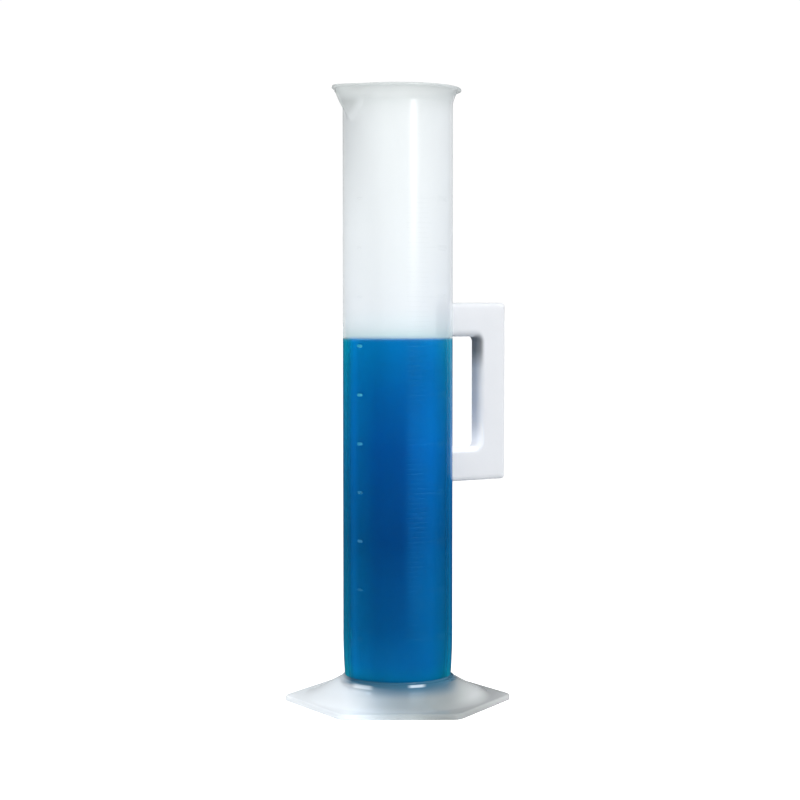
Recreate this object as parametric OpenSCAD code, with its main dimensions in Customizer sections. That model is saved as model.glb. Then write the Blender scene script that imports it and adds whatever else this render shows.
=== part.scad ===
// Two litre graduated cylinder in natural polypropylene: a milky tube with a
// flared rim, pouring spout and raised scale, a clear hexagonal foot, a white
// D handle, and the blue solution standing in the tube.
// Origin: centre of the foot's underside. +Z up, handle towards +X, spout towards -X,
// scale facing -Y. Millimetres.

/* [Tube] */
// Outside diameter of the measuring tube
tube_od = 86.6; // [86.6:1.7:90]
// Wall thickness of the tube
wall = 2.3; // [2:0.3:2.6]
// Height of the rim above the bench
rim_z = 483; // [483:12:507]
// Outside diameter of the flared lip
lip_od = 99.6; // [98:1.6:101.2]
// Height of the flare under the lip
flare_h = 13; // [12:1:15]
// Reach of the spout's tip from the tube's axis
spout_reach = 58.8; // [58.8:2.6:64]
// Depth of the spout's trough below the rim
spout_drop = 28; // [24:4:32]
// Half the angle that the spout takes up on the rim
spout_half_angle = 27; // [27:2:31]

/* [Bottom end] */
// Outside radius of the plain spigot that stands in the foot
spigot_r = 42; // [41.5:0.25:42.25]
// Height where the spigot's taper meets the straight tube
taper_top_z = 54; // [48:1:58]
// Height of the inside of the bottom
floor_z = 15; // [14.5:0.25:16]
// Thickness of the bottom
floor_t = 3; // [2.5:0.25:3.25]

/* [Foot] */
// Distance from the axis to a corner of the hexagon, before rounding
foot_corner_r = 90.5; // [86:0.5:95]
// Turn of the foot about the tube's axis, from flats square to the handle
foot_turn = -2.5; // [-5:0.5:5]
// Rounding radius of the hexagon's corners
foot_round = 10; // [8:1:12]
// Height of the hexagonal flange
foot_flange_h = 4.5; // [4.25:0.25:5.5]
// Height of the collar round the spigot
foot_collar_z = 20; // [19:0.5:21]
// Radius where the collar's cone runs out on the flange
foot_cone_r = 74.5; // [70:0.5:76]
// Shell thickness of the moulding
foot_shell = 2.6; // [2.4:0.1:2.8]

/* [Handle] */
// Height of the handle's underside
handle_z0 = 172; // [160:1:185]
// Overall height of the handle
handle_h = 143.6; // [136:0.4:150]
// Depth of the bar, seen from the side
bar_w = 27.2; // [26:0.4:30]
// Thickness of the bar, measured round the tube
bar_t = 15; // [14:0.5:17]
// Distance from the tube's axis to the back of the grip
handle_reach = 102; // [98:0.5:106]
// Rounding of the edges round the finger opening
inner_round = 6; // [5:0.25:6.5]
// Rounding of the outer edges
outer_round = 4.5; // [3:0.25:5.5]
// Fillet in the corners of the finger opening
handle_fillet = 4.5; // [3:0.5:7]

/* [Scale] */
// Volume between two of the fine lines, in millilitres
step_ml = 20; // [20:20:20]
// First volume on the scale, in millilitres
first_ml = 200; // [200:200:400]
// Last volume on the scale, in millilitres
last_ml = 2000; // [1600:200:2000]
// Height of the raised lines above the wall
raise = 0.4; // [0.3:0.05:0.6]
// Thickness of a fine line
line_t = 0.75; // [0.6:0.05:0.9]
// Angle of the scale's left edge
scale_left = -115; // [-120:1:-110]
// Angle of the middle of the short marks beside the spout
side_mark_at = -167; // [-168:1:-160]

/* [Contents] */
// Volume of solution in the tube, in millilitres
fill_ml = 1430; // [400:10:1900]

/* [Hidden] */

fine = 96;       // facets of the round parts
fill_gap = 0.05; // clearance between the solution and the wall
scale_colour = [0.96, 0.97, 0.99];
handle_weld_colour = [0.92, 0.93, 0.95];

tube_r = tube_od / 2;
bore_r = tube_r - wall;
bore_low_r = spigot_r - wall;
bottom_z = floor_z - floor_t;
collar_r = spigot_r + foot_shell;

function polar(r, angle) = [r * cos(angle), r * sin(angle)];
function arc(centre, r, from, to, steps) =
    [for (i = [0:steps]) centre + polar(r, from + (to - from) * i / steps)];
function reversed(points) = [for (i = [len(points) - 1:-1:0]) points[i]];

// ---- Bottom end of the tube ----
spigot_round = 3;      // outside edge of the bottom
floor_round = 7;       // inside edge of the bottom
floor_rise = 0.8;      // rise of the floor at the axis
taper_mid_inset = 0.3; // how far inside the straight wall the taper bends
taper_mid_z = (foot_collar_z + taper_top_z) / 2 + 2;
bore_taper_z = foot_collar_z + 2;

// Inside of the bottom end from the axis up to the straight bore, as [radius, z],
// moved inwards by a clearance.
function bottom_inside(clear) = concat(
    [[0, floor_z + floor_rise + clear]],
    arc([bore_low_r - floor_round, floor_z + floor_round + clear],
        floor_round - clear, -90, 0, 6),
    [[bore_low_r - clear, bore_taper_z],
     [bore_r - taper_mid_inset - clear, taper_mid_z],
     [bore_r - clear, taper_top_z]]);

// Volume turned by a [radius, z] outline about the axis, as a sum of frusta.
function frusta(points, i = 1) = i >= len(points) ? 0
    : let (r0 = points[i - 1][0], r1 = points[i][0], h = points[i][1] - points[i - 1][1])
        PI / 3 * h * (r1 * r1 + r1 * r0 + r0 * r0) + frusta(points, i + 1);

// The scale is true to the bore: zero is where a straight bore of the same volume would end.
bore_area = PI * bore_r * bore_r;
mm_per_ml = 1000 / bore_area;
zero_z = taper_top_z - frusta(bottom_inside(0)) / bore_area;
function level(ml) = zero_z + ml * mm_per_ml;

// ---- Rim ----
bead_r = 1.5;          // rounding of the lip
flare_out_short = 2.2; // the flare's outside and inside stop this far below the rim
flare_in_short = 1.2;
flare_steps = 7;
flare_z = rim_z - flare_h;
bead_x = lip_od / 2 - bead_r;

// How far the flare stands out from the straight wall at a height.
function flare(z) = let (t = (z - flare_z) / flare_h)
    (bead_x - tube_r) * t * t * (1.6 - 0.6 * t);
// One side of the flare, upwards from just above its start, as [radius, z].
function flare_side(r, short) = [for (i = [1:flare_steps])
    let (z = flare_z + (flare_h - short) * i / flare_steps) [r + flare(z), z]];

module tube_of_revolution() rotate_extrude($fn = fine) polygon(concat(
    [[0, bottom_z]],
    arc([spigot_r - spigot_round, bottom_z + spigot_round], spigot_round, -90, 0, 4),
    [[spigot_r, foot_collar_z],
     [tube_r - taper_mid_inset, taper_mid_z],
     [tube_r, taper_top_z],
     [tube_r, flare_z]],
    flare_side(tube_r, flare_out_short),
    arc([bead_x, rim_z - bead_r], bead_r, -35, 150, 9),
    reversed(flare_side(bore_r, flare_in_short)),
    [[bore_r, flare_z]],
    reversed(bottom_inside(0))));

// ---- Spout ----
spout_ball_r = 1.6;  // balls that shape the outside of the beak
trough_ball_r = 0.4; // balls that shape its hollow
trough_lift = 3.2;
spout_top_z = rim_z - 2.1;

// Beak that leans out of the rim, as a hull of balls. lift raises its top balls.
module spout_beak(ball_r, lift) {
    top_z = spout_top_z + lift;
    // Underside from the tip down to the tube: reach, z
    spine = [[spout_reach - spout_ball_r, top_z],
             [spout_reach - 3.7, rim_z - 6.5],
             [spout_reach - 9.3, rim_z - 16],
             [tube_r - 1.9, rim_z - spout_drop]];
    hull() {
        for (p = spine)
            translate([-p[0], 0, p[1]]) sphere(r = ball_r, $fn = 20);
        for (side = [-1, 1])
            rotate([0, 0, 180 + side * spout_half_angle])
                translate([lip_od / 2 - 3, 0, top_z]) sphere(r = ball_r, $fn = 20);
        translate([-(tube_r - 8), 0, top_z]) sphere(r = ball_r, $fn = 20);
    }
}

module tube() color([0.93, 0.95, 0.96, 0.6]) difference() {
    union() {
        tube_of_revolution();
        // beak, kept out of the bore
        difference() {
            spout_beak(spout_ball_r, 0);
            translate([0, 0, rim_z - 60]) cylinder(r = bore_r + 0.4, h = 80, $fn = fine);
        }
    }
    spout_beak(trough_ball_r, trough_lift);
}

// ---- Foot ----
flange_wall = 3.2;
rib_t = 2.2;
rib_z0 = 0.8;
post_r = 7; // post on the axis under the socket
flange_hollow_h = foot_flange_h - foot_shell;
cone_hollow_r = foot_cone_r - 8;
cone_top_r = collar_r + 2.6;
cone_top_z = foot_collar_z - 1.7;

// Hexagon with its flats square to X and its corners rounded.
function hex_outline(inset) = let (
        corner_r = foot_corner_r - inset / cos(30),
        rounding = max(0.6, foot_round - inset))
    [for (k = [0:5]) for (j = [-3:3]) let (angle = 30 + 60 * k)
        polar(corner_r - rounding / cos(30), angle) + polar(rounding, angle + j * 10)];

// Hollow curve of the cone, from under the collar's edge out to the flange.
cone_curve = [for (i = [0:6]) let (t = i / 6)
    [cone_top_r + (foot_cone_r - cone_top_r) * t,
     foot_flange_h + (cone_top_z - foot_flange_h) * pow(1 - t, 1.15)]];

module foot_body() {
    linear_extrude(foot_flange_h) polygon(hex_outline(0));
    rotate_extrude($fn = fine) polygon(concat(
        [[0, foot_flange_h - 1],
         [0, foot_collar_z],
         [collar_r, foot_collar_z],
         [collar_r + 0.8, foot_collar_z - 0.8]],
        cone_curve,
        [[foot_cone_r, foot_flange_h - 1]]));
}

// Six ribs, one towards each corner.
module ribs(start_r, length) for (k = [0:5])
    rotate([0, 0, 30 + 60 * k])
        translate([start_r, -rib_t / 2, rib_z0]) cube([length, rib_t, foot_collar_z]);

module hollow_under_cone() difference() {
    union() {
        translate([0, 0, -1]) linear_extrude(flange_hollow_h + 1)
            polygon(hex_outline(flange_wall));
        rotate_extrude($fn = fine) polygon([
            [collar_r, 1],
            [collar_r, foot_collar_z - 5.4],
            [cone_hollow_r, flange_hollow_h + 0.4],
            [cone_hollow_r, 1]]);
    }
    translate([0, 0, -2]) cylinder(r = collar_r, h = 40, $fn = fine);
    ribs(collar_r - 1, foot_corner_r);
}

module hollow_under_socket() difference() {
    translate([0, 0, -1]) cylinder(r = spigot_r, h = bottom_z - foot_shell + 1, $fn = fine);
    translate([0, 0, -2]) cylinder(r = post_r, h = 30, $fn = 48);
    ribs(post_r - 2, spigot_r);
}

module foot() color([0.82, 0.86, 0.87, 0.45]) rotate([0, 0, foot_turn]) difference() {
    union() foot_body();
    hollow_under_cone();
    // socket for the spigot
    translate([0, 0, bottom_z]) cylinder(r = spigot_r, h = 20, $fn = fine);
    hollow_under_socket();
}

// Fillet of weld where the tube enters the foot's collar.
module foot_weld() color([0.88, 0.92, 0.93, 0.6]) {
    taper_slope = (tube_r - taper_mid_inset - spigot_r) / (taper_mid_z - foot_collar_z);
    translate([0, 0, 0]) rotate_extrude($fn = fine) polygon([
        [spigot_r, foot_collar_z],
        [collar_r - 0.6, foot_collar_z],
        [spigot_r + 1.1, foot_collar_z + 0.5],
        [spigot_r + 1.3 * taper_slope + 0.25, foot_collar_z + 1.3],
        [spigot_r + 1.7 * taper_slope, foot_collar_z + 1.7]]);
}

// ---- Handle ----
// In this section up is 1 for the upper arm and -1 for the lower one.
grip_in = handle_reach - bar_w; // finger side of the grip
arm_root = tube_r - 7;          // arms start inside the tube and are trimmed to it
weld_grow = 1.3;                // weld round the bar's section
weld_reach = 1.2;               // weld out from the tube's wall
function arm_outer_z(up) = up > 0 ? handle_z0 + handle_h : handle_z0;
function arm_inner_z(up) = arm_outer_z(up) - up * bar_w;

// Section of the bar, finger side at x = 0, outer side at x = bar_w, grown all round.
module bar_section(grow = 0) translate([-grow, 0]) {
    w = bar_w + 2 * grow;
    half_t = bar_t / 2 + grow;
    inner_r = inner_round + grow;
    outer_r = outer_round + grow;
    translate([inner_r, -half_t]) square([w - inner_r - outer_r, 2 * half_t]);
    translate([0, inner_r - half_t]) square([w, 2 * (half_t - inner_r)]);
    translate([w / 2, outer_r - half_t]) square([w / 2, 2 * (half_t - outer_r)]);
    for (side = [-1, 1]) {
        translate([inner_r, side * (half_t - inner_r)]) circle(r = inner_r, $fn = 48);
        translate([w - outer_r, side * (half_t - outer_r)]) circle(r = outer_r, $fn = 48);
    }
}

// Straight bar along +X at the place of an arm.
module arm_bar(up, start_x, length, grow = 0)
    translate([start_x, 0, arm_inner_z(up)])
        rotate([0, 90, 0]) rotate([0, 0, up > 0 ? 180 : 0])
            linear_extrude(length) bar_section(grow);

// Arm with its end mitred to meet the grip.
module arm(up) difference() {
    arm_bar(up, arm_root, handle_reach - arm_root);
    translate([handle_reach, -20, arm_outer_z(up)]) rotate([0, up * 45, 0])
        translate([0, 0, -60]) cube([60, 40, 120]);
}

// Upright bar, mitred at both ends.
module grip() difference() {
    translate([grip_in, 0, handle_z0]) linear_extrude(handle_h) bar_section();
    for (up = [1, -1])
        translate([handle_reach, -20, arm_outer_z(up)]) rotate([0, -up * 45, 0])
            translate([-80, 0, up > 0 ? 0 : -60]) cube([160, 40, 60]);
}

// Fillet in a corner of the finger opening, swept with the bar's own rounding.
module corner_fillet(up)
    translate([grip_in - handle_fillet, 0, arm_inner_z(up) - up * handle_fillet])
        rotate([90, 0, 0]) rotate([0, 0, up > 0 ? 0 : -90])
            rotate_extrude(angle = 90, $fn = 48) intersection() {
                translate([handle_fillet, 0]) bar_section();
                translate([handle_fillet - 1, -20]) square([inner_round + 4, 40]);
            }

module handle() color([0.95, 0.95, 0.97]) difference() {
    union() {
        arm(1);
        arm(-1);
        grip();
        corner_fillet(1);
        corner_fillet(-1);
    }
    translate([0, 0, handle_z0 - 10]) cylinder(r = tube_r, h = handle_h + 20, $fn = fine);
}

// Bead of weld round the end of an arm, hugging the tube.
module arm_weld(up) {
    z = arm_outer_z(up);
    difference() {
        arm_bar(up, tube_r - 6, 12, weld_grow);
        translate([0, 0, z - 60]) cylinder(r = tube_r, h = 120, $fn = fine);
        // everything beyond the weld's reach
        difference() {
            translate([0, -30, z - 60]) cube([60, 60, 120]);
            translate([0, 0, z - 61]) cylinder(r = tube_r + weld_reach, h = 122, $fn = fine);
        }
        arm_bar(up, tube_r - 10, 24);
    }
}
module upper_handle_weld() color(handle_weld_colour) arm_weld(1);
module lower_handle_weld() color(handle_weld_colour) arm_weld(-1);

// ---- Scale ----
major_sweep = 33; // angles the lines take up round the tube
medium_sweep = 29;
minor_sweep = 24;
side_mark_half_sweep = 3.7;
side_mark_t = 2.4;
side_mark_raise = 0.7;
numerals_at = scale_left + 37; // angle of the first digit's middle

// Section of a raised line: share of its height, share of its thickness
line_section = [[0, -0.5], [0.75, -0.36], [1, -0.14], [1, 0.14], [0.75, 0.36], [0, 0.5]];

// Raised line at the level of a volume, from a start angle round through a sweep.
module line(ml, start, sweep, thickness, height)
    rotate([0, 0, start]) rotate_extrude(angle = sweep, $fn = fine)
        polygon([for (p = line_section) [tube_r + height * p[0], level(ml) + thickness * p[1]]]);

module major_lines() color(scale_colour) for (ml = [first_ml:200:last_ml])
    line(ml, scale_left, major_sweep, line_t * 1.3, raise * 1.2);
module medium_lines() color(scale_colour) for (ml = [first_ml + 100:200:last_ml])
    line(ml, scale_left, medium_sweep, line_t * 1.1, raise);
module minor_lines() color(scale_colour) for (ml = [first_ml:step_ml:last_ml])
    if (ml % 100 != 0) line(ml, scale_left, minor_sweep, line_t, raise);
module side_marks() color(scale_colour) for (ml = [first_ml:200:last_ml])
    line(ml, side_mark_at - side_mark_half_sweep, 2 * side_mark_half_sweep,
         side_mark_t, side_mark_raise);

// Numerals, drawn with strokes on a cell 2.4 wide and 4 high.
stroke = 0.55;
cell_mid = 1.2;
digit_pitch = 3.1;
// digit, bows [y, radius, half kept: 1 upper, -1 lower, 0 both], bars [x0, y0, x1, y1]
glyphs = [
    [0, [[2.95, 0.95, 1], [1.05, 0.95, -1]], [[0.25, 1.05, 0.25, 2.95], [2.15, 1.05, 2.15, 2.95]]],
    [1, [], [[1.4, 0.1, 1.4, 3.9], [0.6, 3.1, 1.4, 3.9]]],
    [2, [[2.95, 0.95, 1]], [[2.15, 2.8, 0.35, 0.15], [0.3, 0.1, 2.2, 0.1]]],
    [4, [], [[1.7, 0.1, 1.7, 3.9], [0.2, 1.3, 1.7, 3.9], [0.2, 1.3, 2.3, 1.3]]],
    [6, [[1.15, 0.95, 0]], [[0.3, 1.5, 1.7, 3.9]]],
    [8, [[1.05, 0.98, 0], [2.98, 0.82, 0]], []]];

module stroke_bar(x0, y0, x1, y1) {
    run = [x1 - x0, y1 - y0];
    translate([x0, y0]) rotate(atan2(run[1], run[0]))
        translate([-stroke / 2, -stroke / 2]) square([norm(run) + stroke, stroke]);
}
module bow(y, r, half) difference() {
    translate([cell_mid, y]) circle(r = r + stroke / 2, $fn = 24);
    translate([cell_mid, y]) circle(r = r - stroke / 2, $fn = 24);
    if (half != 0) translate([cell_mid - 4, half > 0 ? y - 8 : y]) square([8, 8]);
}
module digit(n) for (glyph = glyphs) if (glyph[0] == n) {
    for (b = glyph[1]) bow(b[0], b[1], b[2]);
    for (b = glyph[2]) stroke_bar(b[0], b[1], b[2], b[3]);
}

// Digits of a volume, set radially through the tube's wall.
module label(ml) {
    hundreds = floor(ml / 100);
    digits = ml >= 1000 ? [floor(ml / 1000), hundreds % 10, 0, 0] : [hundreds, 0, 0];
    for (i = [0:len(digits) - 1])
        rotate([0, 0, numerals_at + i * digit_pitch / tube_r * 180 / PI])
            translate([tube_r - 1, 0, level(ml) - 1.9]) rotate([90, 0, 90])
                translate([-cell_mid, 0, 0]) linear_extrude(3) digit(digits[i]);
}
module scale_numerals() color(scale_colour) intersection() {
    for (ml = [first_ml:200:last_ml]) label(ml);
    // thin skin on the tube's wall
    difference() {
        cylinder(r = tube_r + raise, h = rim_z, $fn = fine);
        translate([0, 0, -1]) cylinder(r = tube_r, h = rim_z + 2, $fn = fine);
    }
}

// ---- Contents ----
// The liquid, clear of the wall by a hair all round.
module solution() color([0.0, 0.40, 0.72, 0.9]) rotate_extrude($fn = fine)
    polygon(concat(bottom_inside(fill_gap),
                   [[bore_r - fill_gap, level(fill_ml)], [0, level(fill_ml)]]));

tube();
foot();
handle();
upper_handle_weld();
lower_handle_weld();
foot_weld();
major_lines();
medium_lines();
minor_lines();
side_marks();
scale_numerals();
solution();
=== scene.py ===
import bpy, math
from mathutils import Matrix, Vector


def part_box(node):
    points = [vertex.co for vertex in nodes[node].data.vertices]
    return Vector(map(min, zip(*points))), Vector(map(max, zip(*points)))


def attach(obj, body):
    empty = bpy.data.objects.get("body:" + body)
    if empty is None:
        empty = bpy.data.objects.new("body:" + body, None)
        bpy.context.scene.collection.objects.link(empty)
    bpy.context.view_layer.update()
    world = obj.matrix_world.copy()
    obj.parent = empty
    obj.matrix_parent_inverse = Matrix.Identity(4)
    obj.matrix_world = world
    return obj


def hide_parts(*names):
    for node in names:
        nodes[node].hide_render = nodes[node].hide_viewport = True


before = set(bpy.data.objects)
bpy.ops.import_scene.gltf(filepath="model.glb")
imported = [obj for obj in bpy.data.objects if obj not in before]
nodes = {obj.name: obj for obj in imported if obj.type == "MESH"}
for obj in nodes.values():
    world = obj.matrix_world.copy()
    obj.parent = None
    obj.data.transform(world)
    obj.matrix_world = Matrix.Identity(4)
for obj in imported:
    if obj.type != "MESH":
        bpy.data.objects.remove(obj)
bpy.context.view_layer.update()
scene = bpy.context.scene
MM = 0.001

# ---------------------------------------------------------------- sizes, in millimetres, read from the frame
def box_mm(name):
    lo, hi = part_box(name)
    return [v * 1000 for v in lo], [v * 1000 for v in hi]

t_lo, t_hi = box_mm("tube")
h_lo, h_hi = box_mm("handle")
f_lo, f_hi = box_mm("foot")
s_lo, s_hi = box_mm("solution")
RIM_Z, BOTTOM_Z = t_hi[2], t_lo[2]
LIP_R = t_hi[1]
SPOUT_REACH = -t_lo[0]
WALL = 2.3
TUBE_R = s_hi[0] + 0.05 + WALL
BORE_R = TUBE_R - WALL
SPIGOT_R = 42.0
COLLAR_Z = f_hi[2]
TAPER_TOP = 54.0
MID_TAPER = (COLLAR_Z + TAPER_TOP) / 2 + 2
FLARE_H = 13.0
FLARE_Z = RIM_Z - FLARE_H
BEAD = 1.5
SPOUT_DROP = 28.0
LEVEL = s_hi[2]
FLOOR = s_lo[2] - 0.05

# ---------------------------------------------------------------- mesh helpers
def new_mesh(name, verts, faces, smooth=True, angle=None):
    me = bpy.data.meshes.new(name)
    me.from_pydata([(v[0] * MM, v[1] * MM, v[2] * MM) for v in verts], [], faces)
    me.validate()
    me.update()
    ob = bpy.data.objects.new(name, me)
    scene.collection.objects.link(ob)
    if smooth:
        me.polygons.foreach_set("use_smooth", [True] * len(me.polygons))
        if angle is not None:
            me.set_sharp_from_angle(angle=math.radians(angle))
    return ob

def arc(cx, cz, r, a0, a1, n):
    return [(cx + r * math.cos(math.radians(a0 + (a1 - a0) * i / n)), cz + r * math.sin(math.radians(a0 + (a1 - a0) * i / n))) for i in range(n + 1)]

def revolve(profile, n=180, push=None, angles=None):
    """A surface of revolution about +Z from (radius, height) points. The first and last points may be on the axis."""
    angles = angles or [2 * math.pi * k / n for k in range(n)]
    n = len(angles)
    verts, faces, rings = [], [], []
    for r, z in profile:
        if r < 1e-6:
            rings.append([len(verts)])
            verts.append((0, 0, z))
        else:
            ring = []
            for a in angles:
                rr = r + (push(a, r, z) if push else 0.0)
                ring.append(len(verts))
                verts.append((rr * math.cos(a), rr * math.sin(a), z))
            rings.append(ring)
    for p, q in zip(rings, rings[1:]):
        if len(p) == 1 and len(q) == 1:
            continue
        for k in range(n):
            m = (k + 1) % n
            if len(p) == 1:
                faces.append((p[0], q[m], q[k]))
            elif len(q) == 1:
                faces.append((p[k], p[m], q[0]))
            else:
                faces.append((p[k], p[m], q[m], q[k]))
    return verts, faces

def smoothstep(t):
    t = max(0.0, min(1.0, t))
    return t * t * (3 - 2 * t)

# ---------------------------------------------------------------- tube
def flare(z):
    t = max(0.0, min(1.0, (z - FLARE_Z) / FLARE_H))
    return (LIP_R - BEAD - TUBE_R) * t * t * (1.6 - 0.6 * t)

def taper(z):
    """How far the wall is inside the straight tube at a height near the bottom."""
    if z >= TAPER_TOP:
        return 0.0
    t = (TAPER_TOP - z) / (TAPER_TOP - COLLAR_Z)
    return min(1.0, t) ** 1.9 * (TUBE_R - SPIGOT_R)

SPOUT_Z = RIM_Z - SPOUT_DROP
def spout_push(a, r, z):
    if z < SPOUT_Z:
        return 0.0
    s = min(1.0, (z - SPOUT_Z) / (RIM_Z - BEAD - SPOUT_Z))
    d = abs((math.degrees(a) - 180 + 180) % 360 - 180)
    half = 9 + 19 * s ** 0.8
    t = d / half
    if t >= 1:
        return 0.0
    u = (math.sqrt(t * t + 0.02) - 0.1414) / 0.8686
    bell = max(0.0, 1 - u) ** 1.55
    bell = bell * smoothstep((1 - t) * 4) if t > 0.75 else bell
    keel = (SPOUT_REACH - TUBE_R - 0.2) * math.sin(math.pi / 2 * s) ** 1.25 - flare(min(z, RIM_Z - BEAD)) - BEAD * s
    return max(0.0, keel) * bell

def tube_outer():
    p = [(0.0, BOTTOM_Z)] + [(6 * k, BOTTOM_Z) for k in range(1, 7)] + arc(SPIGOT_R - 3, BOTTOM_Z + 3, 3, -90, 0, 8)
    z = COLLAR_Z
    while z < TAPER_TOP:
        p.append((TUBE_R - taper(z), z))
        z += 2.0
    z = TAPER_TOP
    while z < SPOUT_Z - 8:
        p.append((TUBE_R, z))
        z += 8.0
    z = SPOUT_Z - 2
    top = RIM_Z - BEAD - 0.9
    n = 34
    for i in range(n + 1):
        zz = z + (top - z) * i / n
        p.append((TUBE_R + flare(zz), zz))
    p += arc(LIP_R - BEAD, RIM_Z - BEAD, BEAD, -30, 95, 10)
    return p

def tube_inner():
    """From the lip's inner side down to the middle of the floor."""
    p = arc(LIP_R - BEAD, RIM_Z - BEAD, BEAD, 110, 165, 5)
    n = 34
    z1, z0 = RIM_Z - BEAD - 0.6, SPOUT_Z - 2
    for i in range(n + 1):
        zz = z1 + (z0 - z1) * i / n
        p.append((BORE_R + flare(zz), zz))
    z = SPOUT_Z - 10
    while z > TAPER_TOP:
        p.append((BORE_R, z))
        z -= 8.0
    z = TAPER_TOP
    while z > COLLAR_Z + 2:
        p.append((BORE_R - taper(z), z))
        z -= 2.0
    low = SPIGOT_R - WALL
    p += arc(low - 7, FLOOR + 7 - 0.75, 7, 0, -90, 12)
    p += [(24, FLOOR - 0.5), (16, FLOOR - 0.2), (8, FLOOR - 0.05), (0.0, FLOOR)]
    return p

angles = []
a = 0.0
while a < 360 - 1e-6:
    angles.append(math.radians(a))
    near = abs(a - 180)
    a += 0.75 if near < 32 - 1e-6 else 2.0
v, f = revolve(tube_outer() + tube_inner(), push=spout_push, angles=angles)
tube = new_mesh("measuring_tube", v, f)
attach(tube, "root"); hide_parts("tube")

# ---------------------------------------------------------------- solution, with a meniscus
g = 0.06
low = SPIGOT_R - WALL
p = [(0.0, FLOOR + g), (8, FLOOR - 0.05 + g), (16, FLOOR - 0.2 + g), (24, FLOOR - 0.5 + g)] + arc(low - 7, FLOOR + 7 - 0.75 + g, 7 - g, -90, 0, 12)
z = COLLAR_Z + 2
while z < TAPER_TOP:
    p.append((BORE_R - taper(z) - g, z))
    z += 2.0
z = TAPER_TOP
while z < LEVEL - 6:
    p.append((BORE_R - g, z))
    z += 6.0
p += [(BORE_R - g, LEVEL - 4), (BORE_R - g, LEVEL - 2), (BORE_R - g, LEVEL - 0.6), (BORE_R - g, LEVEL + 0.9)]
p += [(BORE_R - g - 0.15, LEVEL + 0.75), (BORE_R - 0.6, LEVEL + 0.3), (BORE_R - 1.3, LEVEL - 0.05), (BORE_R - 2.4, LEVEL - 0.3), (BORE_R - 4.2, LEVEL - 0.45), (BORE_R - 8, LEVEL - 0.5), (24, LEVEL - 0.5), (12, LEVEL - 0.5), (0.0, LEVEL - 0.5)]
v, f = revolve(p, n=180)
solution = new_mesh("blue_solution", v, f, angle=50)
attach(solution, "root"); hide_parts("solution")

# ---------------------------------------------------------------- foot
FOOT_CORNER = 90.5
FLAT = FOOT_CORNER * math.cos(math.radians(30))   # half the width across the flats
FOOT_TURN = math.radians(-2.5)
ROUND = 10.0
FLANGE = 4.5
CONE_R = 74.5
SHELL = 2.6
COLLAR_R = SPIGOT_R + SHELL

def hex_radius(a, inset):
    """Distance to the rounded hexagon's outline, moved in by inset, along the direction a. Flats face +X, +60 and so on."""
    q = max(0.6, ROUND - inset)
    apothem = FLAT - inset
    d = (math.degrees(a) + 30) % 60 - 30          # angle from the nearest flat's middle
    corner = apothem / math.cos(math.radians(30))
    c = corner - q / math.cos(math.radians(30))   # centre of the corner's arc
    t = math.radians(d)
    half = math.atan2(c * math.sin(math.radians(30)), apothem)
    if abs(t) <= half:
        return apothem / math.cos(t)
    e = math.radians(30) - abs(t)
    return c * math.cos(e) + math.sqrt(max(0.0, q * q - (c * math.sin(e)) ** 2))

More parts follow.
